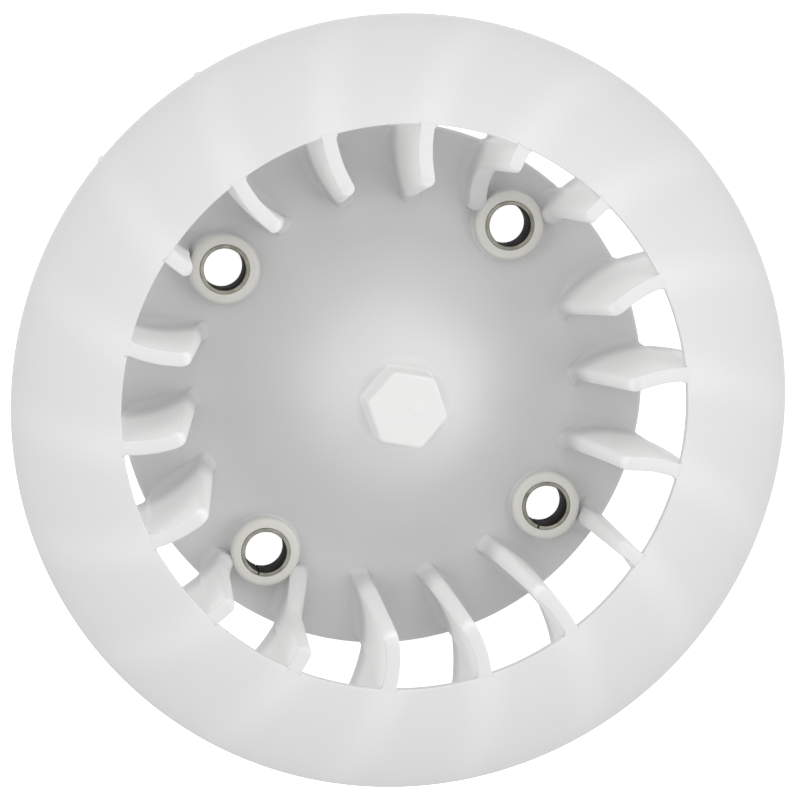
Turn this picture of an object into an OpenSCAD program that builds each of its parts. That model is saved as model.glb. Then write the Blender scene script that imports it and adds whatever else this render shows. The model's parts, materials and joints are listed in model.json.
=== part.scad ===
// Flywheel cooling fan for a small forced-air-cooled engine.
// One nylon moulding (hub plate, bolt bosses, hexagon, blades and shroud ring, each
// drawn as a node of its own) with four steel compression sleeves in its bolt bosses.
// The axis is Z, the air inlet is on top, and Z = 0 is the face that bolts to the flywheel.

/* [Shroud ring] */
// Outside diameter of the fan
fan_d = 150; // [124:1:190]
// Height of the ring's upper face at the inlet edge
eye_h = 34.2; // [26:0.1:42]
// How far the ring's upper face drops from the inlet edge to the outside
ring_drop = 3.8; // [1:0.1:6]
// Thickness of the ring
ring_t = 2; // [1.4:0.1:3]
// Radial gap between the hub plate's rim and the inlet edge
eye_gap = 1.75; // [0.5:0.05:6]

/* [Hub] */
// Thickness of the hub plate and of the hub cone's wall
plate_t = 2.4; // [1.8:0.1:3.4]
// Width of the plate beyond the bolt bosses
rim_w = 5.35; // [2:0.05:8]
// Radial width of the flat mounting band inside the rim
seat_w = 6.75; // [3:0.05:9]
// Rise of the hub cone above the plate
cone_rise = 24; // [16:0.5:28]

/* [Hexagon] */
// Size of the turning hexagon across its flats
hex_af = 14; // [10:0.5:15]
// Height of the hexagon above the hub cone
hex_h = 7.2; // [3:0.1:10]
// Width of the flat left on the hub cone outside the hexagon's corners
hex_land = 1.1; // [0.4:0.1:4]
// Angle of the hexagon's first corner
hex_turn = 41.5; // [0:0.5:60]

/* [Bolts and sleeves] */
// Number of bolt bosses
bolt_n = 4; // [3:1:4]
// Angle of the first bolt
bolt_turn = 45; // [0:1:90]
// Diameter of the circle through the bolt centres
bolt_pcd = 81; // [76:0.5:98]
// Bore of a sleeve
sleeve_bore = 8.2; // [6.4:0.1:10]
// Wall of a sleeve
sleeve_wall = 0.8; // [0.5:0.1:1.5]
// Wall of a bolt boss round its sleeve
boss_wall = 2; // [1.2:0.1:3]
// Height of a boss and of the sleeve in it
boss_h = 7.3; // [5:0.1:10]

/* [Blades] */
// Number of blades
blade_n = 18; // [12:1:20]
// Thickness of a blade
blade_t = 2.8; // [2:0.1:3.6]
// Angle of the first blade, measured at the inlet edge
blade_turn = -1.7; // [-10:0.1:10]
// How far a blade's upper corner reaches inside the inlet edge
nose_reach = 11.5; // [6:0.1:14]
// How far its foot reaches inside the inlet edge
foot_reach = 16.5; // [8:0.1:20]
// Length of the bevel on the upper corner
nose_cut = 1.6; // [0.4:0.1:3]
// Angle either side of a bolt within which blades are cut short for its head and socket
short_angle = 15; // [8:1:20]
// Radial distance from the bolt circle out to such a blade's upper corner
short_nose_gap = 8.9; // [7:0.1:11]
// Radial distance from the bolt circle to where its edge comes down to the boss tops' level
short_foot_gap = 6.6; // [3:0.1:9]
// Radial distance that the blades' outer ends stay inside the ring's edge
tip_inset = 2.4; // [0:0.1:5]
// Radius of a blade's curve inside the inlet edge
curve_in = 26; // [22:1:50]
// Radius of a blade's curve outside the inlet edge
curve_out = 40; // [34:1:90]
// Lean of a blade from the radial direction at the inlet edge
blade_lean = 9; // [4:1:20]

/* [Hidden] */
$fn = 96;
fan_r = fan_d / 2;
bolt_r = bolt_pcd / 2;
sleeve_od = sleeve_bore + 2 * sleeve_wall;
boss_d = sleeve_od + 2 * boss_wall;
plate_r = bolt_r + boss_d / 2 + rim_w;
eye_r = plate_r + eye_gap;
seat_r = plate_r - seat_w;
hex_corner_r = hex_af / 2 / cos(30);
cone_top_r = hex_corner_r + hex_land;
cone_top_h = plate_t + cone_rise;
ring_slope = ring_drop / (fan_r - eye_r);
tip_r = fan_r - tip_inset;
nose_r = eye_r - nose_reach;
foot_r = eye_r - foot_reach;
short_nose_r = bolt_r + short_nose_gap;
short_foot_r = bolt_r + short_foot_gap;
// Points on the curves of the hub cone and of a blade's foot
cone_steps = 12;
foot_steps = 4;
// Angle that each arc of a blade runs through, past the end of its outline
wall_sweep = 75;
// Sector of the fan that holds one blade
blade_sector = 80;
// How far cutting shapes run past what they cut
over = 1;
wall_h = ring_top(foot_r) + 2 * over;

// Inner edges of the blades, from the top down. Long blades reach in over the hub; those
// beside a bolt stop outside its socket and run on to the boss as a low rib.
long_edge = [
    [nose_r + nose_cut, ring_top(nose_r + nose_cut)],
    [nose_r, ring_top(nose_r) - nose_cut]
];
short_edge = [
    [short_nose_r, ring_top(short_nose_r)],
    [short_foot_r, boss_h],
    [foot_r, boss_h]
];

BOSS_NAMES = [for (i = [1:bolt_n]) str("bolt_boss_", i)];
SLEEVE_NAMES = [for (i = [1:bolt_n]) str("sleeve_", i)];
BLADE_NAMES = [for (i = [1:blade_n]) str("blade_", i < 10 ? "0" : "", i)];

// Height of the ring's upper face at radius r; the blades' tops follow the same cone.
function ring_top(r) = eye_h + (eye_r - r) * ring_slope;

// Height of the hub's upper face at radius r: flat outside seat_r, then a parabola
// that steepens towards the flat under the hexagon.
function hub_top(r) =
    plate_t + cone_rise * pow(max(0, seat_r - r) / (seat_r - cone_top_r), 2);

// Height of the hub's hollow underside: the same curve moved in and down by one wall.
function hub_under(r) = hub_top(r + plate_t) - plate_t;

// Evenly spaced radii from one to another.
function radii(from, to, steps) = [for (i = [0:steps]) from + (to - from) * i / steps];

// Angles of bolt i and blade i, counted from 1.
function bolt_angle(i) = bolt_turn + (i - 1) * 360 / bolt_n;
function blade_angle(i) = blade_turn + (i - 1) * 360 / blade_n;

// Whether blade i stands beside a bolt: the cosine of the angle between them is large.
function is_short(i) =
    max([for (b = [1:bolt_n]) cos(blade_angle(i) - bolt_angle(b))]) > cos(short_angle);

module at_bolt(i) {
    rotate([0, 0, bolt_angle(i)])
        translate([bolt_r, 0, 0])
            children();
}

// What the bolt bosses take up, for cutting their neighbours clear of them.
module boss_space() {
    for (i = [1:bolt_n])
        at_bolt(i)
            translate([0, 0, -over]) cylinder(d = boss_d, h = boss_h + 2 * over);
}

// Plate and hollow cone that carry the bosses, the hexagon and the blades.
module hub_plate() {
    upper = [for (r = radii(seat_r, cone_top_r, cone_steps)) [r, hub_top(r)]];
    lower = [for (r = radii(cone_top_r - plate_t, seat_r - plate_t, cone_steps))
        [r, hub_under(r)]];
    outline = concat(
        [[plate_r, 0], [plate_r, plate_t]],
        upper,
        [[0, cone_top_h], [0, cone_top_h - plate_t]],
        lower
    );
    color("gainsboro")
        difference() {
            rotate_extrude() polygon(outline);
            boss_space();
        }
}

// Hexagonal boss for turning the crankshaft with a spanner.
module hexagon() {
    color("whitesmoke")
        translate([0, 0, cone_top_h])
            rotate([0, 0, hex_turn])
                cylinder(r = hex_corner_r, h = hex_h, $fn = 6);
}

// Conical ring that closes the blades' front.
module shroud_ring() {
    color("whitesmoke")
        rotate_extrude()
            polygon([
                [eye_r, ring_top(eye_r) - ring_t],
                [fan_r, ring_top(fan_r) - ring_t],
                [fan_r, ring_top(fan_r)],
                [eye_r, ring_top(eye_r)]
            ]);
}

module bolt_boss(i) {
    color("lightgray")
        at_bolt(i)
            difference() {
                cylinder(d = boss_d, h = boss_h);
                translate([0, 0, -over]) cylinder(d = sleeve_od, h = boss_h + 2 * over);
            }
}

// Steel sleeve that takes the bolt's clamping force.
module sleeve(i) {
    color("dimgray")
        at_bolt(i)
            difference() {
                cylinder(d = sleeve_od, h = boss_h);
                translate([0, 0, -over]) cylinder(d = sleeve_bore, h = boss_h + 2 * over);
            }
}

// Outline that every blade keeps to, as radius and height: on the hub inside the rim,
// down to the mounting face outside it, under the ring, and level with it in the inlet.
module blade_profile(inner_edge) {
    on_hub = [for (r = radii(foot_r, seat_r, foot_steps)) [r, hub_top(r)]];
    polygon(concat(
        on_hub,
        [[plate_r, plate_t], [plate_r, 0], [tip_r, 0]],
        [[tip_r, ring_top(tip_r) - ring_t], [eye_r, ring_top(eye_r) - ring_t]],
        [[eye_r, ring_top(eye_r)]],
        inner_edge
    ));
}

// A blade's wall in plan: two arcs that meet smoothly at the inlet edge and curve the
// same way. Each arc starts at the origin; the outer one is mirrored to run outwards.
module blade_arc(radius) {
    translate([radius, 0, -over])
        rotate([0, 0, 180])
            rotate_extrude(angle = wall_sweep, $fn = 180)
                translate([radius - blade_t / 2, 0]) square([blade_t, wall_h]);
}

module blade_wall() {
    translate([eye_r, 0, 0])
        rotate([0, 0, -90 - blade_lean]) {
            mirror([0, 1, 0]) blade_arc(curve_out);
            blade_arc(curve_in);
        }
}

// One blade at angle 0: its wall, kept to its outline.
module blade_blank(inner_edge) {
    intersection() {
        rotate([0, 0, -blade_sector / 2])
            rotate_extrude(angle = blade_sector) blade_profile(inner_edge);
        blade_wall();
    }
}

module blade(i) {
    color("white")
        if (is_short(i))
            difference() {
                rotate([0, 0, blade_angle(i)]) blade_blank(short_edge);
                boss_space();
            }
        else
            rotate([0, 0, blade_angle(i)]) blade_blank(long_edge);
}

hub_plate();
hexagon();
shroud_ring();
for (i = [1:bolt_n]) {
    bolt_boss(i);
    sleeve(i);
}
for (i = [1:blade_n])
    blade(i);
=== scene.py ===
# %% [markdown]
# # A moulded cooling fan, built from formulas
# The object is the nylon fan that bolts to the flywheel of a small engine. It is one
# moulding with four steel sleeves pressed into its bolt holes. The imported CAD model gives
# every size; here each feature is built again as a smooth surface with the rounded edges
# and fillets that a mould leaves. Lengths are in millimetres until a mesh is made.

import json

import bpy
import numpy as np
from mathutils import Matrix, Vector

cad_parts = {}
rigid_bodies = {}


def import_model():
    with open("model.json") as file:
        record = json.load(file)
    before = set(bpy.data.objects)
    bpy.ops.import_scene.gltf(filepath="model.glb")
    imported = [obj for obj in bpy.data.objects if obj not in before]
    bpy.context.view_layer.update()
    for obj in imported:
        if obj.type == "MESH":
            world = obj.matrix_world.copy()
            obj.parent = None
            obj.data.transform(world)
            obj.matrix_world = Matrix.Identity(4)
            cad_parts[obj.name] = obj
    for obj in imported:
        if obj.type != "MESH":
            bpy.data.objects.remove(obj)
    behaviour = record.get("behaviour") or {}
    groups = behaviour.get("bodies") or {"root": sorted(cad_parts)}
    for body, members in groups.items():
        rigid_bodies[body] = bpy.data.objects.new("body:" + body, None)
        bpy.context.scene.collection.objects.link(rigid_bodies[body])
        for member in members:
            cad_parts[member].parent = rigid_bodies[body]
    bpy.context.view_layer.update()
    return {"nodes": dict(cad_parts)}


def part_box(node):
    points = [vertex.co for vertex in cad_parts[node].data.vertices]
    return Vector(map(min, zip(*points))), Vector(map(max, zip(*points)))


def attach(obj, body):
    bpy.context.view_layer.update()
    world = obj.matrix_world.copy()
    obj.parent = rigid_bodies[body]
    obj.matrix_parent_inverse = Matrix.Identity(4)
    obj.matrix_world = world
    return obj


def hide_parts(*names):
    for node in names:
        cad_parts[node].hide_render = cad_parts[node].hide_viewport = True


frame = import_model()
scene = bpy.context.scene
MM = 0.001
print("CAD nodes:", len(frame["nodes"]))

# %% [markdown]
# ## Sizes
# The large sizes are read from the CAD nodes' boxes, so the looks follow the frame. The
# hub's curve and the blade's two arcs have no box of their own, so their radii are written
# here as they are in the CAD source.

# %% Sizes read from the frame


def box_mm(node):
    """Lowest and highest corner of a CAD node in millimetres."""
    low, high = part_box(node)
    return np.array(low) / MM, np.array(high) / MM


_, ring_high = box_mm("shroud_ring")
_, hub_high = box_mm("hub_plate")
_, hexagon_high = box_mm("hexagon")
boss_low, boss_high = box_mm("bolt_boss_1")
sleeve_low, sleeve_high = box_mm("sleeve_1")

FAN_R = ring_high[0]
EYE_Z = ring_high[2]
PLATE_R = hub_high[0]
CONE_TOP_Z = hub_high[2]
HEXAGON_Z = hexagon_high[2]
BOSS_R = (boss_high[0] - boss_low[0]) / 2
BOSS_Z = boss_high[2]
SLEEVE_R = (sleeve_high[0] - sleeve_low[0]) / 2
BOLT_R = np.hypot(*(boss_low + boss_high)[:2]) / 2

# the ring of daylight between plate and inlet, and the width of the flat seat
EYE_GAP, SEAT_WIDTH = 1.75, 6.75
EYE_R = PLATE_R + EYE_GAP
RING_T = 2.0
RING_DROP = 3.8
PLATE_T = 2.4
SEAT_R = PLATE_R - SEAT_WIDTH
CONE_TOP_R = 9.18
BORE_R = 4.1
BOLT_ANGLES = np.radians([45, 135, 225, 315])
print(f"fan radius {FAN_R:.2f}, plate radius {PLATE_R:.2f}, bolt radius {BOLT_R:.2f}")

# %% [markdown]
# ## Curves that the pieces share
# The ring's upper face is a flat cone, and the blades' upper edges run on along it. The
# hub is a plate whose middle rises in a parabola, like the bell of a trumpet. Both are
# heights that depend on the radius alone, so each is a one-line function that works on
# whole arrays.

# %% Heights by radius


def ring_top(r):
    """The ring's upper face: EYE_Z at the inlet edge, RING_DROP lower at the outside."""
    return EYE_Z + (EYE_R - r) * RING_DROP / (FAN_R - EYE_R)


def hub_top(r):
    """PLATE_T outside SEAT_R, and a parabola from there up to the flat at CONE_TOP_R."""
    climb = np.clip((SEAT_R - r) / (SEAT_R - CONE_TOP_R), 0, 1)
    return PLATE_T + (CONE_TOP_Z - PLATE_T) * climb**2


def hub_under(r):
    """The hollow underside: the upper curve moved in and down by one wall."""
    return hub_top(r + PLATE_T) - PLATE_T


def fillet(distance, radius):
    """Extra thickness of a quarter-round fillet, at a distance from the face it meets:
    R - sqrt(R^2 - (R - d)^2) for 0 < d < R, R at the face and 0 beyond the fillet."""
    short = np.clip(radius - distance, 0, radius)
    return radius - np.sqrt(radius**2 - short**2)


def smooth_step(x, start, end):
    """0 before start, 1 after end, and 3t^2 - 2t^3 between them."""
    t = np.clip((x - start) / (end - start), 0, 1)
    return t * t * (3 - 2 * t)


print("hub height under the blades' feet:", round(float(hub_top(38.0)), 2))

# %% [markdown]
# ## From numbers to meshes
# A surface here is a grid of points: one direction runs along a profile, the other turns
# round the axis or goes up a wall. Four neighbours make a face, so the faces are four
# shifted copies of one array of numbers, with no loop over points. The signed volume
# tells whether the faces look outwards; if it is negative, every face is turned round.

# %% Grid and mesh helpers


def grid_quads(rows, columns, wrap_rows=False, wrap_columns=True):
    """Quads joining point (i, j) to its neighbours (i + 1, j) and (i, j + 1)."""
    index = np.arange(rows * columns).reshape(rows, columns)
    if wrap_rows:
        index = np.vstack([index, index[:1]])
    if wrap_columns:
        index = np.hstack([index, index[:, :1]])
    corners = [index[:-1, :-1], index[:-1, 1:], index[1:, 1:], index[1:, :-1]]
    return np.stack(corners, -1).reshape(-1, 4)


def signed_volume(points, faces):
    """Sum of p0 . (p1 x p2) / 6 over the triangles: positive when faces look outwards."""
    total = 0.0
    for face_set in faces:
        corner = points[face_set]
        for k in range(1, face_set.shape[1] - 1):
            cross = np.cross(corner[:, k], corner[:, k + 1])
            total += np.einsum("ij,ij->", corner[:, 0], cross) / 6
    return total


def make_mesh(name, points, faces, attributes=None):
    """A smooth-shaded object in metres from points in millimetres and arrays of faces."""
    if signed_volume(points, faces) < 0:
        faces = [face_set[:, ::-1] for face_set in faces]
    mesh = bpy.data.meshes.new(name)
    rows = [row for face_set in faces for row in face_set.tolist()]
    mesh.from_pydata((points * MM).tolist(), [], rows)
    for label, values in (attributes or {}).items():
        layer = mesh.attributes.new(label, "FLOAT", "POINT")
        layer.data.foreach_set("value", np.asarray(values, np.float32))
    mesh.shade_smooth()
    piece = bpy.data.objects.new(name, mesh)
    scene.collection.objects.link(piece)
    return piece


def finish_piece(piece, material, slot, *nodes):
    """Gives a piece its material, lets it ride, and hides the nodes it replaces; slot is not used.
    """
    piece.data.materials.clear()
    piece.data.materials.append(material)
    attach(piece, "root")
    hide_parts(*nodes)
    return piece


def rounded(corners, steps=6):
    """A closed outline with its corners rounded. Each corner is (x, y, radius); the arc
    starts and ends at radius / tan(half angle) from the corner, along its two sides."""
    outline = []
    for k, (x, y, radius) in enumerate(corners):
        here = np.array([x, y])
        before = np.array(corners[k - 1][:2]) - here
        after = np.array(corners[(k + 1) % len(corners)][:2]) - here
        before, after = before / np.linalg.norm(before), after / np.linalg.norm(after)
        half = np.arccos(np.clip(before @ after, -1, 1)) / 2
        if radius == 0 or abs(np.cos(half)) < 1e-6:
            outline.append(here[None])
            continue
        reach = radius / np.tan(half)
        centre = here + (before + after) / np.linalg.norm(before + after) * radius / np.sin(half)
        start, end = here + before * reach - centre, here + after * reach - centre
        t = np.linspace(0, 1, steps)[:, None]
        chord = start * (1 - t) + end * t
        outline.append(centre + chord / np.linalg.norm(chord, axis=1)[:, None] * radius)
    return np.vstack(outline)


def split_long(outline, longest):
    """The same outline with points added so that no side is longer than given."""
    out = []
    for here, there in zip(outline, np.roll(outline, -1, 0)):
        count = max(1, int(np.ceil(np.linalg.norm(there - here) / longest)))
        t = np.arange(count)[:, None] / count
        out.append(here * (1 - t) + there * t)
    return np.vstack(out)


def turned(outline, steps):
    """Points of a closed (radius, height) outline turned round the axis:
    x = r cos(a), y = r sin(a), z = h, for steps equal angles a."""
    angle = np.linspace(0, 2 * np.pi, steps, endpoint=False)[:, None]
    r, z = outline[:, 0][None], outline[:, 1][None]
    return np.stack([r * np.cos(angle), r * np.sin(angle), z + 0 * angle], -1)


def closed_body(name, grid, attributes=None):
    """A closed body from a grid of loops round the axis (turn, profile). A profile point
    on the axis is the same point at every turn, so its copies are merged into one pole."""
    steps, length = grid.shape[:2]
    keep = np.arange(steps * length).reshape(steps, length)
    on_axis = np.hypot(grid[..., 0], grid[..., 1]).max(0) < 1e-9
    keep[:, on_axis] = keep[0, on_axis]
    quads = keep.ravel()[grid_quads(steps, length, wrap_rows=True)]
    a, b, c, d = quads.T
    whole = (a != b) & (b != c) & (c != d) & (d != a)
    first, second = (a == d) & (b != c), (b == c) & (a != d)
    triangles = np.vstack([np.stack([a, b, c], 1)[first], np.stack([a, b, d], 1)[second]])
    used = np.unique(keep)
    place = np.zeros(steps * length, int)
    place[used] = np.arange(len(used))
    faces = [place[quads[whole]], place[triangles]]
    kept = {label: np.ravel(values)[used] for label, values in (attributes or {}).items()}
    return make_mesh(name, grid.reshape(-1, 3)[used], faces, kept)


def solid_of_turning(name, outline, steps, attributes=None):
    """A body of revolution from a closed outline of radius and height."""
    return closed_body(name, turned(outline, steps), attributes)


print("mesh helpers ready")

# %% [markdown]
# ## Adding nodes to a material
# Every material below is a small tree of nodes. One function adds a node: its settings go
# in by name, and each input is given either a plain value or another node's output to
# link. Colours are written as on a paint chart, in sRGB, and turned to the linear values
# that the renderer works in.

# %% Material helpers


def linear(hex_colour):
    """sRGB hex to linear RGBA: c / 12.92 below 0.04045, else ((c + 0.055) / 1.055)^2.4."""
    c = np.array([int(hex_colour[k : k + 2], 16) for k in (1, 3, 5)]) / 255
    value = np.where(c <= 0.04045, c / 12.92, ((c + 0.055) / 1.055) ** 2.4)
    return (*value.tolist(), 1.0)


def add_node(tree, kind, inputs=None, **settings):
    """Adds one node, sets its settings, and sets or links its inputs."""
    node = tree.nodes.new(kind)
    for label, value in settings.items():
        setattr(node, label, value)
    for key, value in (inputs or {}).items():
        if isinstance(value, bpy.types.NodeSocket):
            tree.links.new(value, node.inputs[key])
        else:
            node.inputs[key].default_value = value
    return node


def new_material(name):
    """An empty material with its Principled shader and output in place."""
    material = bpy.data.materials.new(name)
    material.use_nodes = True
    tree = material.node_tree
    tree.nodes.clear()
    shader = add_node(tree, "ShaderNodeBsdfPrincipled")
    add_node(tree, "ShaderNodeOutputMaterial", {"Surface": shader.outputs["BSDF"]})
    return material, tree, shader


print("white in linear:", linear("#FFFFFF")[:3])

# %% [markdown]
# ## Natural nylon
# The fan is moulded from natural polyamide with no pigment: milky, a little see-through,
# neither shiny nor dull. Light goes a few millimetres into it, which is subsurface
# scattering. Its depth is kept small here, because the pieces of one moulding overlap and
# light does not cross from one mesh to the next. The glow that is lost is painted instead,
# as painted light and shade: a point attribute blends a shaded grey into a lit grey, so the
# plastic is painted paler where it looks lit from within. Very soft mottling stands for the
# flow of the melt, and a fine bump for the texture that the polished steel mould leaves.

# %% Nylon
FLOW_GREY = "#C9CBD0"


def nylon(name, shaded_hex, lit_hex):
    """Natural polyamide 6: index 1.53, roughness 0.48 to 0.58, light enters about 0.4 mm."""
    material, tree, shader = new_material(name)
    place = add_node(tree, "ShaderNodeTexCoord").outputs["Object"]
    painted_light = add_node(tree, "ShaderNodeAttribute", attribute_name="painted_light")
    # flow marks of the melt, about 16 mm across and very faint
    flow = add_node(
        tree, "ShaderNodeTexNoise", {"Vector": place, "Scale": 1 / 0.016, "Detail": 2.0}
    )
    # painted light and shade: the point attribute mixes the shaded grey towards the lit grey
    shade = add_node(
        tree,
        "ShaderNodeMix",
        {0: painted_light.outputs["Fac"], 6: linear(shaded_hex), 7: linear(lit_hex)},
        data_type="RGBA",
    )
    mottle = add_node(
        tree,
        "ShaderNodeMapRange",
        {0: flow.outputs["Fac"], 1: 0.3, 2: 0.7, 3: 0.0, 4: 0.05},
    )
    colour = add_node(
        tree,
        "ShaderNodeMix",
        {0: mottle.outputs[0], 6: shade.outputs[2], 7: linear(FLOW_GREY)},
        data_type="RGBA",
    )
    # mould texture: grain of 0.6 mm and 5 micrometres deep, coarser than real to show
    grain = add_node(
        tree, "ShaderNodeTexNoise", {"Vector": place, "Scale": 1 / 0.0006, "Detail": 3.0}
    )
    bump = add_node(
        tree,
        "ShaderNodeBump",
        {"Strength": 0.25, "Distance": 0.000005, "Height": grain.outputs["Fac"]},
    )
    gloss = add_node(
        tree,
        "ShaderNodeMapRange",
        {0: grain.outputs["Fac"], 1: 0.3, 2: 0.7, 3: 0.48, 4: 0.58},
    )
    tree.links.new(colour.outputs[2], shader.inputs["Base Color"])
    tree.links.new(gloss.outputs[0], shader.inputs["Roughness"])
    tree.links.new(bump.outputs["Normal"], shader.inputs["Normal"])
    shader.inputs["IOR"].default_value = 1.53
    shader.inputs["Subsurface Weight"].default_value = 0.25
    shader.inputs["Subsurface Radius"].default_value = (1.0, 0.98, 0.92)
    shader.inputs["Subsurface Scale"].default_value = 0.0004
    return material


# four copies of one nylon: their two greys differ by piece only as painted light and shade
ring_nylon = nylon("natural_nylon_ring", "#D5D5D5", "#E7E7E7")
body_nylon = nylon("natural_nylon", "#D1D1D1", "#E9E9E8")
blade_nylon = nylon("natural_nylon_blade", "#D8D8D8", "#F9F9F8")
boss_nylon = nylon("natural_nylon_boss", "#D4D4D4", "#DAD9D3")
print("nylon materials:", *[m.name for m in (ring_nylon, body_nylon, blade_nylon, boss_nylon)])

# %% [markdown]
# ## Sleeve steel
# The sleeves are strip steel rolled into a tube and zinc plated, then dulled by handling
# and light oil. Little light reaches the inside of the bore, so the steel is coloured
# almost black there, darker than the metal itself, and its cut end is a narrow grey ring.

# %% Steel


def sleeve_steel_material():
    """Dull plated steel: metallic 1, roughness 0.55 to 0.75, brownish stains 3 mm across."""
    material, tree, shader = new_material("rolled_sleeve_steel")
    place = add_node(tree, "ShaderNodeTexCoord").outputs["Object"]
    stain = add_node(
        tree, "ShaderNodeTexNoise", {"Vector": place, "Scale": 1 / 0.003, "Detail": 4.0}
    )
    end_face = add_node(tree, "ShaderNodeAttribute", attribute_name="end_face")
    tone = add_node(
        tree,
        "ShaderNodeMix",
        {0: end_face.outputs["Fac"], 6: linear("#0C0C0A"), 7: linear("#B4B2A6")},
        data_type="RGBA",
    )
    patches = add_node(
        tree,
        "ShaderNodeMapRange",
        {0: stain.outputs["Fac"], 1: 0.45, 2: 0.7, 3: 0.0, 4: 0.35},
    )
    colour = add_node(
        tree,
        "ShaderNodeMix",
        {0: patches.outputs[0], 6: tone.outputs[2], 7: linear("#2B2820")},
        data_type="RGBA",
    )
    rough = add_node(
        tree,
        "ShaderNodeMapRange",
        {0: stain.outputs["Fac"], 1: 0.3, 2: 0.7, 3: 0.55, 4: 0.75},
    )
    tree.links.new(colour.outputs[2], shader.inputs["Base Color"])
    tree.links.new(rough.outputs[0], shader.inputs["Roughness"])
    shader.inputs["Metallic"].default_value = 1.0
    return material


steel = sleeve_steel_material()
print("steel material:", steel.name)

# %% [markdown]
# ## The blade's curved wall
# Seen from above, a blade is two arcs that meet at the inlet edge, leaning nine degrees
# from the radius there. A table of the curve's points, its left-hand direction and its
# radius, all against distance along the curve, lets every later formula ask where the
# wall is at any distance, and at what distance it crosses a given radius.

# %% Plan curve of a blade
ARC_IN, ARC_OUT, LEAN = 26.0, 40.0, np.radians(9)
BLADE_COUNT, FIRST_BLADE = 18, np.radians(-1.7)
TIP_R, NOSE_R, FOOT_R = FAN_R - 2.4, EYE_R - 11.5, EYE_R - 16.5
BESIDE_ANGLE = np.radians(15)

# distances along the curve every 0.05 mm, past both ends of every blade
along = np.linspace(-26, 30, 1121)


def plan_curve(s):
    """Point and sideways direction of the blade's middle at distance s from the inlet
    edge: centre + R (1 - cos t) e + R sin t u with t = s / R, where u leads outwards and
    e lies to its right; R is ARC_OUT outside the edge and ARC_IN inside it."""
    u = np.array([np.cos(LEAN), -np.sin(LEAN)])
    e = np.array([-np.sin(LEAN), -np.cos(LEAN)])
    radius = np.where(s >= 0, ARC_OUT, ARC_IN)
    t = np.abs(s) / radius
    side = np.sign(s)
    shift, reach = radius * (1 - np.cos(t)), side * radius * np.sin(t)
    point = np.array([EYE_R, 0.0]) + shift[..., None] * e + reach[..., None] * u
    across = np.cos(t)[..., None] * e - (side * np.sin(t))[..., None] * u
    return point, across


curve_radius = np.linalg.norm(plan_curve(along)[0], axis=1)


def distance_at(r):
    """Distance along the blade at which its middle crosses radius r."""
    return np.interp(r, curve_radius, along)


blade_angles = FIRST_BLADE + np.arange(BLADE_COUNT) * 2 * np.pi / BLADE_COUNT
to_bolt = (blade_angles[:, None] - BOLT_ANGLES + np.pi) % (2 * np.pi) - np.pi
beside_bolt = np.abs(to_bolt).min(1) < BESIDE_ANGLE
print("blades cut short beside a bolt:", int(beside_bolt.sum()), "of", BLADE_COUNT)

# %% [markdown]
# ## Shape of a blade's wall
# The mould opens along the axis. Inside the inlet the upper half shapes the wall, so it
# gets thicker towards the hub; under the ring the lower half shapes it, so it gets
# thicker towards the ring. Where the two halves met, a faint crease runs up the flank.
# The half thickness is therefore a function of radius and height, with a fillet added
# wherever the wall meets the hub or the ring.

# %% Half thickness of a blade
HALF_T = 1.4
DRAFT = 0.016
EDGE_ROUND = 0.35
HUB_FILLET = 2.2
# a fillet's edge lies SUNK under the hub's surface, which hides the line where they meet
SUNK = 0.06
ROOT_DEPTH = 1.0
TALLEST = 33.4
CREASE_HALF = 0.15
RING_FILLET = 1.2


def parting_radius(z):
    """Radius of the crease between the two mould halves at height z: from the plate's rim
    at the bottom to the inlet edge at the top."""
    return PLATE_R + (EYE_R - PLATE_R) * np.clip(z / EYE_Z, 0, 1)


def half_thickness(r, z):
    """HALF_T at the top; thicker by 0.8 DRAFT per millimetre towards the hub inside the
    crease, thinner by the same outside it; plus the fillets at the hub, under the ring
    and beside the inlet edge."""
    depth = np.clip(EYE_Z - z, 0, None)
    outside = smooth_step(r, parting_radius(z) - CREASE_HALF, parting_radius(z) + CREASE_HALF)
    base = HALF_T + DRAFT * depth * (0.8 - 1.6 * outside)
    at_hub = fillet(z - hub_top(r) + SUNK, HUB_FILLET)
    at_hub = at_hub * (1 - smooth_step(r, PLATE_R - 2.5, PLATE_R))
    at_hub = at_hub * (0.1 + 0.9 * smooth_step(r, FOOT_R, FOOT_R + 7))
    under_ring = fillet(ring_top(r) - RING_T - z, RING_FILLET) * smooth_step(r, EYE_R, EYE_R + 1.5)
    beside_edge = fillet(EYE_R - r, EDGE_ROUND) * smooth_step(z, EYE_Z - RING_T - 1.5, EYE_Z - 1.5)
    beside_edge = beside_edge * (1 - smooth_step(r, EYE_R, EYE_R + 0.3))
    return base + at_hub + under_ring + beside_edge


print("half thickness at hub and top:", half_thickness(42.0, 8.0), half_thickness(46.0, 34.0))

# %% [markdown]
# ## One blade as a closed wall
# The wall is a stack of loops. Each loop goes out along one flank, round the outer end,
# back along the other flank and round the inner end; the stack rises from the hub to the
# upper edge. The ends are rounded by letting the thickness fall to nothing along a
# quarter circle, and a strip of faces closes the bottom and the top.

# %% Wall builder
LOOP_STEPS = 72
END_IN, END_OUT = 1.0, 0.6
LEAST_HALF = 0.06


def ends_rounded(s, start, end, radius_in, radius_out):
    """Share of the full thickness at distance s: sqrt(1 - (1 - d / R)^2) near each end."""
    near_in = np.clip(1 - (s - start) / radius_in, 0, 1)
    near_out = np.clip(1 - (end - s) / radius_out, 0, 1)
    return np.sqrt(1 - near_in**2) * np.sqrt(1 - near_out**2)


def spread(steps):
    """Numbers from 0 to 1 that crowd towards both ends, as (1 - cos(pi t)) / 2 does."""
    return (1 - np.cos(np.pi * np.linspace(0, 1, steps))) / 2


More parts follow.
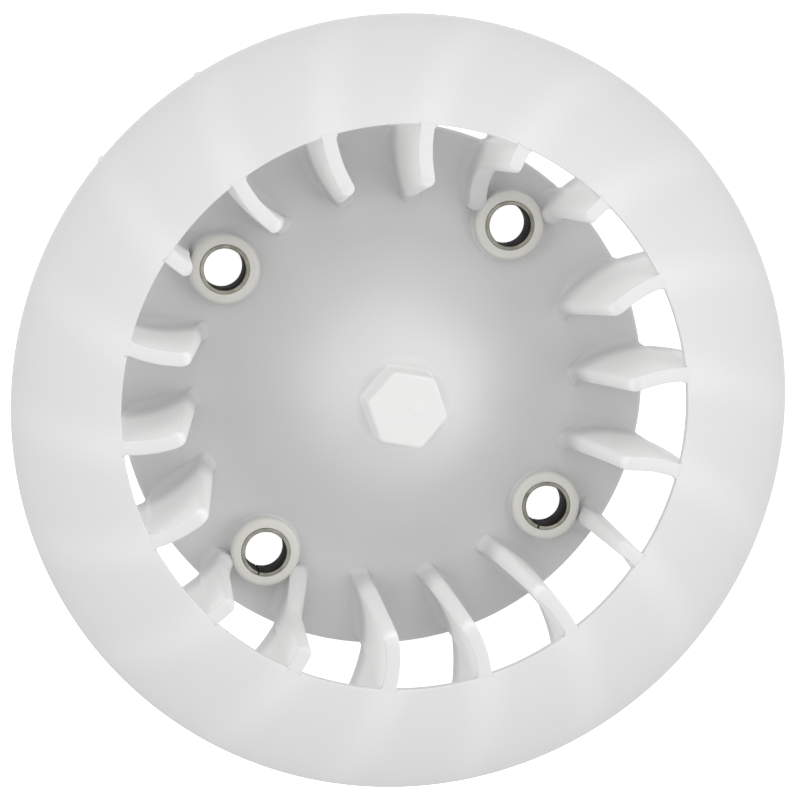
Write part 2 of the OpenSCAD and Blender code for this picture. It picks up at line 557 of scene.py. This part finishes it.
def row_heights():
    """Heights of the rows above the lower edge, as two columns: millimetres in the foot,
    and shares of what is left above it. The foot's rows step round the fillet's quarter
    circle, R (1 - cos a), a millimetre up; more rows crowd at BOSS_Z and at the top."""
    quarter = HUB_FILLET * (1 - np.cos(np.linspace(0, np.pi / 2, 9)))
    foot = np.concatenate([[0], ROOT_DEPTH - SUNK + quarter])
    middle = np.linspace(0, 0.24, 13)[1:]
    top = 0.24 + 0.76 * np.sin(np.linspace(0, np.pi / 2, 24))[1:]
    share = np.concatenate([0 * foot, middle, top])
    return np.concatenate([foot, foot[-1] + 0 * middle, foot[-1] + 0 * top]), share


FOOT_MM, UPPER_SHARE = row_heights()
WALL_STEPS = len(FOOT_MM)
ROW_MM = FOOT_MM + (TALLEST - FOOT_MM[-1]) * UPPER_SHARE


def wall_points(inner_radius, outer_radius, low, high, rim, turn):
    """Grid (height, loop) of one wall. inner_radius(h) gives the inner end of a row that is
    h above the lower edge, low(r) and high(r) the wall's lower and upper edge, rim the
    rounding of its upper edge, and turn the angle that the wall is turned by."""
    t = spread(LOOP_STEPS)[None, :]
    start = distance_at(inner_radius(ROW_MM[:, None]))
    end = distance_at(outer_radius)
    s = start + (end - start) * t
    point, across = plan_curve(s)
    r = np.linalg.norm(point, axis=-1)
    above = high(r) - low(r) - FOOT_MM[-1]
    z = low(r) + FOOT_MM[:, None] + above * UPPER_SHARE[:, None]
    ends = ends_rounded(s, start, end, END_IN, END_OUT)
    half = half_thickness(r, z) * ends
    free = 1 - smooth_step(r, EYE_R - 0.5, EYE_R)
    half = half - fillet(high(r) - z, rim) * free * (half > 0)
    foot_edge = smooth_step(r, PLATE_R, PLATE_R + 1)
    # the flanks may meet only at the two ends, so elsewhere the wall keeps LEAST_HALF
    half = np.maximum(half - fillet(z - low(r), EDGE_ROUND) * foot_edge, LEAST_HALF * ends)
    sides = []
    for sign in (1, -1):
        xy = point + sign * half[..., None] * across
        sides.append(np.concatenate([xy, z[..., None]], -1))
    loop = np.concatenate([sides[0], sides[1][:, -2:0:-1]], 1)
    c, sn = np.cos(turn), np.sin(turn)
    x, y = loop[..., 0].copy(), loop[..., 1].copy()
    loop[..., 0], loop[..., 1] = c * x - sn * y, sn * x + c * y
    return loop


def wall_faces(rows, steps):
    """Quads of the flanks, and the strips that close the lowest and highest loop."""
    around = 2 * steps - 2
    flank = grid_quads(rows, around)
    near = np.arange(steps - 1)
    far = (around - near) % around
    far_next = (around - near - 1) % around
    base = np.stack([near, near + 1, far_next, far], 1)
    strips = []
    for first, flip in ((0, True), ((rows - 1) * around, False)):
        strip = base + first
        strips.append(strip[:, ::-1] if flip else strip)
    quads, triangles = [flank], []
    for strip in strips:
        ends = (strip[:, 0] == strip[:, 3]) | (strip[:, 1] == strip[:, 2])
        quads.append(strip[~ends])
        for a, b, c, d in strip[ends]:
            triangles.append([a, b, c] if a == d else [a, b, d])
    return [np.vstack(quads), np.array(triangles)]


faces_of_wall = wall_faces(WALL_STEPS, LOOP_STEPS)
print("faces in one wall:", sum(len(f) for f in faces_of_wall))

# %% [markdown]
# ## The eighteen blades
# Twelve blades reach in over the hub. The six beside a bolt stop outside the socket that
# turns the bolt, and run on to the boss only as a low rib. Both kinds come from the same
# wall; only the radius of the inner end changes with height in another way. Points of a
# rib that would fall inside a boss move out from the bolt to just inside the boss's wall.

# %% Blades


def low_edge(r):
    """Hidden inside the hub's wall, and down to the mounting face beyond the rim."""
    drop = smooth_step(r, PLATE_R - 1.2, PLATE_R + 0.2)
    return (hub_top(r) - ROOT_DEPTH) * (1 - drop)


def high_edge(r):
    """Level with the ring's upper face in the inlet, and hidden in the ring outside it."""
    hidden = 0.05 * smooth_step(r, EYE_R + 0.05, EYE_R + 0.3)
    return ring_top(r) - hidden - 0.95 * smooth_step(r, EYE_R + 0.3, EYE_R + 2.0)


def long_inner(h):
    """Inner end of a long blade: from the foot to the nose, with the nose rounded off
    and the foot flared on to the hub."""
    lean = FOOT_R + (NOSE_R - FOOT_R) * h / ROW_MM[-1]
    return lean + fillet(ROW_MM[-1] - h, 2.2) - fillet(h + 0.5, 4.0)


SHORT_NOSE_R, SHORT_FOOT_R = BOLT_R + 8.9, BOLT_R + 6.6
RIB_RISE = 6.0


def short_inner(h, rib_r):
    """Inner end of a blade beside a bolt: at the rib's start below the boss tops, then
    sweeping out to the blade's own end along a quarter circle squeezed to fit."""
    lean = SHORT_FOOT_R + (SHORT_NOSE_R - SHORT_FOOT_R) * h / ROW_MM[-1]
    above = h - (BOSS_Z - PLATE_T + 0.2)
    sweep = fillet(above, RIB_RISE) / RIB_RISE
    return lean + fillet(ROW_MM[-1] - h, 1.0) - (lean - rib_r) * sweep


def outside_boss(loop):
    """Each point within BOSS_R - 0.6 of a bolt's axis is moved out to that distance."""
    for bolt_angle in BOLT_ANGLES:
        centre = BOLT_R * np.array([np.cos(bolt_angle), np.sin(bolt_angle)])
        away = loop[..., :2] - centre
        distance = np.linalg.norm(away, axis=-1, keepdims=True)
        grown = np.maximum(distance, BOSS_R - 0.6) / distance
        loop[..., :2] = centre + away * grown
    return loop


def rib_start(angle):
    """Radius where a rib begins: where its middle line, followed inwards, comes within
    BOSS_R + 0.4 of the bolt, or within 0.35 of its nearest approach."""
    s = along[along < 0]
    middle, _ = plan_curve(s)
    c, sn = np.cos(angle), np.sin(angle)
    spot = middle @ np.array([[c, sn], [-sn, c]])
    bolts = BOLT_R * np.stack([np.cos(BOLT_ANGLES), np.sin(BOLT_ANGLES)], 1)
    away = np.linalg.norm(spot[:, None] - bolts, axis=-1).min(1)
    radius = np.linalg.norm(middle, axis=1)
    near = away < max(BOSS_R + 0.4, away.min() + 0.35)
    return radius[near].max()


blades = []
for k, angle in enumerate(blade_angles):
    name = f"blade_{k + 1:02d}"
    if beside_bolt[k]:
        rib_r = rib_start(angle)
        wall = wall_points(
            lambda h: short_inner(h, rib_r), TIP_R, low_edge, high_edge, EDGE_ROUND, angle
        )
        wall = outside_boss(wall)
    else:
        wall = wall_points(long_inner, TIP_R, low_edge, high_edge, EDGE_ROUND, angle)
    points = wall.reshape(-1, 3)
    share = (UPPER_SHARE * (FOOT_MM >= FOOT_MM[-1]))[:, None] + 0 * wall[..., 2]
    # painted light: each blade's flanks are painted paler from the foot upwards, and less pale
    # again along the upper edge
    flank_glow = smooth_step(share, 0, 0.3) * (1 - 0.58 * smooth_step(share, 0.97, 0.995))
    piece = make_mesh(name + "_wall", points, faces_of_wall, {"painted_light": flank_glow.ravel()})
    blades.append(finish_piece(piece, blade_nylon, "nylon", name))
print("blades:", len(blades), "with", len(blades[0].data.polygons), "faces each")

# %% [markdown]
# ## The shroud ring
# A flat conical ring two millimetres thick closes the fronts of the blades. It is a
# rounded outline turned round the axis. Its painted light is worked out on its points:
# each point is turned back into the frame of its nearest blade, and its distance from that
# blade's middle decides how much painted glow the plastic gets there. The ring is also
# given painted shade, darker towards its outside.

# %% Shroud ring


def near_blade(x, y, width):
    """1 on a blade's middle line and 0 at width from it: the point's angle less the
    curve's angle at the same radius, folded into one blade pitch, times the radius."""
    r = np.hypot(x, y)
    middle, _ = plan_curve(distance_at(r))
    lag = np.arctan2(middle[..., 1], middle[..., 0])
    pitch = 2 * np.pi / BLADE_COUNT
    away = (np.arctan2(y, x) - lag - FIRST_BLADE + pitch / 2) % pitch - pitch / 2
    return 1 - smooth_step(np.abs(away) * r, 0, width)


ring_outline = split_long(
    rounded(
        [
            (EYE_R, ring_top(EYE_R) - RING_T, 0.3),
            (FAN_R, ring_top(FAN_R) - RING_T, 0.5),
            (FAN_R, ring_top(FAN_R), 0.6),
            (EYE_R, ring_top(EYE_R), 0.2),
        ]
    ),
    0.7,
)
RING_STEPS, BAND_WIDTH = 720, 7.0
ring_grid = turned(ring_outline, RING_STEPS)
ring_r = np.hypot(ring_grid[..., 0], ring_grid[..., 1])
outward = (ring_r - EYE_R) / (FAN_R - EYE_R)
bands = near_blade(ring_grid[..., 0], ring_grid[..., 1], BAND_WIDTH) - 0.4
# painted light and shade: paler bands over the blades, and painted shade darker towards the
# outside
ring_painted_light = 0.86 - 0.62 * outward - 0.3 * outward**8 + 0.4 * bands * (1 - 0.7 * outward)
ring = solid_of_turning(
    "shroud_ring_cone", ring_outline, RING_STEPS, {"painted_light": ring_painted_light}
)
finish_piece(ring, ring_nylon, "nylon", "shroud_ring")
print("ring points:", len(ring.data.vertices))

# %% [markdown]
# ## The hub
# The hub is a plate whose middle rises like a bell, hollow underneath for the crankshaft
# nut. It is turned from its outline too. The bosses fill four round holes in it, so four
# cylinders are cut out with a Boolean; an exact Boolean keeps the body closed.

# %% Hub
climb = np.linspace(SEAT_R, CONE_TOP_R, 60)
hollow = np.linspace(CONE_TOP_R - PLATE_T, SEAT_R - PLATE_T, 60)
rim = rounded(
    [
        (SEAT_R - PLATE_T, 0, 0),
        (PLATE_R, 0, 0.3),
        (PLATE_R, PLATE_T, 0.7),
        (SEAT_R, PLATE_T, 0),
    ]
)
hub_outline = np.vstack(
    [
        rim[:-1],
        np.stack([climb, hub_top(climb)], 1),
        [[0, CONE_TOP_Z], [0, CONE_TOP_Z - PLATE_T]],
        np.stack([hollow, hub_under(hollow)], 1)[:-1],
    ]
)
hub = solid_of_turning("hub_bell", split_long(hub_outline, 1.0), 360)
cutter_outline = np.array([[BOSS_R - 0.05, -2], [BOSS_R - 0.05, 20], [0, 20], [0, -2]])
cutters = bpy.data.collections.new("bolt_hole_cutters")
scene.collection.children.link(cutters)
for k, angle in enumerate(BOLT_ANGLES):
    cutter = solid_of_turning(f"cutter_{k}", cutter_outline, 96)
    spot = Vector((np.cos(angle) * BOLT_R * MM, np.sin(angle) * BOLT_R * MM, 0))
    cutter.data.transform(Matrix.Translation(spot))
    scene.collection.objects.unlink(cutter)
    cutters.objects.link(cutter)
holes = hub.modifiers.new("bolt holes", "BOOLEAN")
holes.operand_type, holes.collection, holes.solver = "COLLECTION", cutters, "EXACT"
cut_mesh = bpy.data.meshes.new_from_object(
    hub.evaluated_get(bpy.context.evaluated_depsgraph_get())
)
hub.modifiers.clear()
hub.data = cut_mesh
for cutter in list(cutters.objects):
    bpy.data.objects.remove(cutter)
bpy.data.collections.remove(cutters)
hub_points = np.zeros(len(hub.data.vertices) * 3)
hub.data.vertices.foreach_get("co", hub_points)
hub_points = hub_points.reshape(-1, 3) / MM
hub_radius = np.hypot(hub_points[:, 0], hub_points[:, 1])
# painted light: the hub is painted paler at its middle round the hexagon and near the blades' feet
hub_painted_light = 0.55 * (1 - smooth_step(hub_radius, 9, 24))
hub_painted_light = hub_painted_light + 0.3 * smooth_step(hub_radius, 30, 38)
layer = hub.data.attributes.new("painted_light", "FLOAT", "POINT")
layer.data.foreach_set("value", hub_painted_light.astype(np.float32))
finish_piece(hub, body_nylon, "nylon", "hub_plate")
print("hub faces after cutting:", len(hub.data.polygons))

# %% [markdown]
# ## The turning hexagon
# A 14 mm socket fits this hexagon to turn the engine by hand. A rounded hexagon can be
# written as one polar formula: each side is at distance a / cos(angle to the side), and a
# high power mean of the six joins them with slightly soft corners. The scale of the
# outline changes with height: a fillet at the foot, a little draft and a rounded upper
# edge. A low round mark on top shows where the mould's gate was broken off.

# %% Hexagon
HEX_HALF, HEX_TURN, SOFTNESS = 7.0, np.radians(41.5), 26
HEX_STEPS = 288
HEX_RIM, GATE_MARK = 1.5, 0.12


def hexagon_radius(angle):
    """a / (sum over the six sides of max(0, cos(angle - side))^p)^(1/p)."""
    sides = HEX_TURN + np.pi / 6 + np.arange(6) * np.pi / 3
    lean = np.clip(np.cos(angle[..., None] - sides), 0, None)
    return HEX_HALF / (lean**SOFTNESS).sum(-1) ** (1 / SOFTNESS)


hex_profile = rounded(
    [
        (-HEX_HALF, CONE_TOP_Z - 1.0, 0),
        (0.8, CONE_TOP_Z - 1.0, 0),
        (0.8, CONE_TOP_Z - 0.1, 0),
        (0.06, CONE_TOP_Z + 0.1, 0.4),
        (-0.12, HEXAGON_Z - GATE_MARK, 0.6),
        (-HEX_HALF, HEXAGON_Z - GATE_MARK, 0),
    ],
    steps=8,
)
hex_angle = np.linspace(0, 2 * np.pi, HEX_STEPS, endpoint=False)
edge = hexagon_radius(hex_angle)[:, None]
offset, height = split_long(hex_profile, 0.5).T
share = np.clip((HEX_HALF + offset) / HEX_HALF, 0, None)
share_inside = (HEX_HALF - HEX_RIM) / HEX_HALF
radius = np.where(offset >= -HEX_RIM, edge + offset, (edge - HEX_RIM) * share / share_inside)
height = height + 0 * radius
mark = np.hypot(radius * np.cos(hex_angle)[:, None] - 1.6, radius * np.sin(hex_angle)[:, None])
gate_mark = GATE_MARK * (1 - smooth_step(mark, 0.9, 1.3)) * (height > HEXAGON_Z - 1)
height = height + gate_mark
hex_points = np.stack(
    [
        radius * np.cos(hex_angle)[:, None],
        radius * np.sin(hex_angle)[:, None],
        height,
    ],
    -1,
)
# painted light: the whole hexagon is painted in the lit grey
hexagon = closed_body("turning_hexagon", hex_points, {"painted_light": 1 + 0 * radius})
finish_piece(hexagon, body_nylon, "nylon", "hexagon")
print("hexagon corner radius:", round(float(edge.max()), 2))

# %% [markdown]
# ## Bolt bosses
# Each boss is a short thick tube round a sleeve. Its outline is carried round the bolt's
# own axis, but the fillet at its foot has to follow the hub, which climbs towards the
# middle. So the outline's heights are measured from the hub's surface under each point,
# and the same grid bends itself to the slope.

# %% Bolt bosses
BOSS_STEPS, BOSS_FILLET, FOOT_STEPS = 128, 0.8, 9


def boss_grid(bolt_angle):
    """Loop (turn, profile) of one boss: bore, flat top, rounded edge, outer wall, fillet
    on to the hub, and back inside the hub to the lower face."""
    turn = np.linspace(0, 2 * np.pi, BOSS_STEPS, endpoint=False)[:, None]
    sweep = np.linspace(0, np.pi / 2, FOOT_STEPS)
    foot_out = BOSS_R + BOSS_FILLET * (1 - np.cos(sweep))
    foot_up = BOSS_FILLET * (1 - np.sin(sweep))
    top = rounded(
        [(SLEEVE_R, 0, 0), (SLEEVE_R, BOSS_Z, 0.25), (BOSS_R, BOSS_Z, 0.9), (BOSS_R, 0, 0)]
    )[1:-1]
    out = np.concatenate([[SLEEVE_R], top[:, 0], foot_out, [BOSS_R + 1.3, BOSS_R, BOSS_R]])
    centre = BOLT_R * np.array([np.cos(bolt_angle), np.sin(bolt_angle)])
    x, y = centre[0] + out * np.cos(turn), centre[1] + out * np.sin(turn)
    ground = hub_top(np.hypot(x, y))
    z = np.zeros_like(x)
    n = 1 + len(top)
    z[:, 1:n] = top[:, 1]
    under = n + FOOT_STEPS
    z[:, n:under] = np.minimum(ground[:, n:under] + foot_up - 0.04, BOSS_Z - 0.5)
    z[:, under] = ground[:, under] - 0.5
    z[:, under + 1] = ground[:, under + 1] - 1.0
    return np.stack([x, y, z], -1)


for k, angle in enumerate(BOLT_ANGLES):
    grid = boss_grid(angle)
    # painted light: the top of each boss is painted paler than its wall
    on_top = smooth_step(grid[..., 2], BOSS_Z - 1.6, BOSS_Z - 0.3)
    boss = closed_body(f"bolt_boss_{k + 1}_tube", grid, {"painted_light": on_top})
    finish_piece(boss, boss_nylon, "nylon", f"bolt_boss_{k + 1}")
print("bosses: 4, each with", len(boss.data.polygons), "faces")

# %% [markdown]
# ## Compression sleeves
# A steel sleeve in each boss takes the bolt's clamping force, which nylon would creep
# away from. It is rolled from strip, so a narrow seam runs down one side. The section of
# its wall, with chamfered ends, is carried round the bolt from one lip of the seam to the
# other, and a face closes each lip.

# %% Sleeves
SEAMS = np.radians([0.5, 0.5, 4, 5])
SEAM_AT = np.radians([143, 121, 243, 241])
SLEEVE_STEPS = 96


def sleeve_piece(number, bolt_angle, seam_at, seam):
    """Rounded wall section (out, up) carried round the bolt over 2 pi - seam."""
    section = rounded(
        [
            (BORE_R, 0, 0.25),
            (SLEEVE_R - 0.01, 0, 0.2),
            (SLEEVE_R - 0.01, BOSS_Z - 0.02, 0.15),
            (BORE_R, BOSS_Z - 0.02, 0.3),
        ],
        steps=4,
    )
    turn = np.linspace(seam_at + seam / 2, seam_at + 2 * np.pi - seam / 2, SLEEVE_STEPS)
    centre = BOLT_R * np.array([np.cos(bolt_angle), np.sin(bolt_angle)])
    x = centre[0] + np.cos(turn)[:, None] * section[:, 0]
    y = centre[1] + np.sin(turn)[:, None] * section[:, 0]
    z = section[:, 1] + 0 * x
    points = np.stack([x, y, z], -1).reshape(-1, 3)
    quads = grid_quads(SLEEVE_STEPS, len(section))
    lip = np.arange(len(section))[None]
    lips = [lip, (SLEEVE_STEPS - 1) * len(section) + lip[:, ::-1]]
    near_top = smooth_step(points[:, 2], BOSS_Z - 0.16, BOSS_Z - 0.06)
    piece = make_mesh(
        f"sleeve_{number}_rolled", points, [quads, *lips], {"end_face": near_top}
    )
    return finish_piece(piece, steel, "sleeve_steel", f"sleeve_{number}")


for k, angle in enumerate(BOLT_ANGLES):
    sleeve = sleeve_piece(k + 1, angle, SEAM_AT[k], SEAMS[k])
print("sleeves: 4, wall", round(SLEEVE_R - BORE_R, 2), "mm")

# %% [markdown]
# ## Floor
# The fan stands on a plain white table lit from below, so every gap and bolt hole is clean
# white. A large square with a plain white emission does that. The table is shown brighter
# to the camera than to the fan, which would otherwise be lit too strongly from underneath.

# %% Floor
half_floor, floor_drop = 3000.0, 0.3
floor = make_mesh(
    "floor",
    np.array([[-1, -1, 0], [1, -1, 0], [1, 1, 0], [-1, 1, 0]]) * half_floor
    - np.array([0, 0, floor_drop]),
    [np.array([[0, 1, 2, 3]])],
)
white, white_tree, white_shader = new_material("light_table")
white_shader.inputs["Base Color"].default_value = linear("#E4E4E4")
white_shader.inputs["Emission Color"].default_value = (1, 1, 1, 1)
# seen by the camera the table is white; to the fan it glows only faintly
seen = add_node(white_tree, "ShaderNodeLightPath").outputs["Is Camera Ray"]
glow = add_node(white_tree, "ShaderNodeMapRange", {0: seen, 1: 0, 2: 1, 3: 0.4, 4: 0.9})
white_tree.links.new(glow.outputs[0], white_shader.inputs["Emission Strength"])
floor.data.materials.append(white)

# %% [markdown]
# ## Light
# Milky plastic looks best in very soft light. The sky is an even pale grey, which alone
# darkens the spaces between the blades. Three broad lamps, at the top of the view and at
# its two sides, light the blades' flanks and keep their shadows soft.

# %% Light
LAMP_AIM, LAMP_WIDTH = (0, 0, 0.02), 0.7
world = bpy.data.worlds.new("studio")
scene.world = world
world.use_nodes = True
world.node_tree.nodes["Background"].inputs["Color"].default_value = (1, 1, 1, 1)
world.node_tree.nodes["Background"].inputs["Strength"].default_value = 0.72


def soft_lamp(name, spot, power):
    """A square area lamp at spot, facing LAMP_AIM, in metres and watts."""
    lamp = bpy.data.lights.new(name, "AREA")
    lamp.shape, lamp.size, lamp.energy = "SQUARE", LAMP_WIDTH, power
    holder = bpy.data.objects.new(name, lamp)
    holder.location = spot
    holder.rotation_euler = (Vector(LAMP_AIM) - Vector(spot)).to_track_quat("-Z", "Y").to_euler()
    scene.collection.objects.link(holder)


soft_lamp("key", (0.15, 0.75, 0.75), 1.6)
soft_lamp("fill_left", (-0.75, 0.3, 0.7), 1.8)
soft_lamp("fill_right", (0.8, -0.15, 0.7), 2.6)

# %% [markdown]
# ## Camera
# The fan is seen from almost straight above, tilted about twelve degrees, through a long
# lens 0.6 m away. The camera's own axes are given as a matrix, because near the vertical
# a look-at direction alone leaves its roll undecided.

# %% Camera
LENS_MM, SENSOR_MM = 142.02, 36
CAMERA_AT = np.array([-76.99, 108.11, 619.34])
right = Vector((0.97955, -0.13332, 0.15073))
upward = Vector((0.15673, 0.97525, -0.15598))
backward = right.cross(upward).normalized()
upward = backward.cross(right)
camera_data = bpy.data.cameras.new("camera")
camera_data.lens, camera_data.sensor_width = LENS_MM, SENSOR_MM
camera_data.clip_start, camera_data.clip_end = 0.01, 20
camera = bpy.data.objects.new("camera", camera_data)
camera.matrix_world = Matrix.Translation(Vector(CAMERA_AT * MM)) @ Matrix(
    (right, upward, backward)
).transposed().to_4x4()
scene.collection.objects.link(camera)
scene.camera = camera
scene.view_settings.view_transform = "Standard"
print("camera distance:", round(camera.location.length, 3), "m")
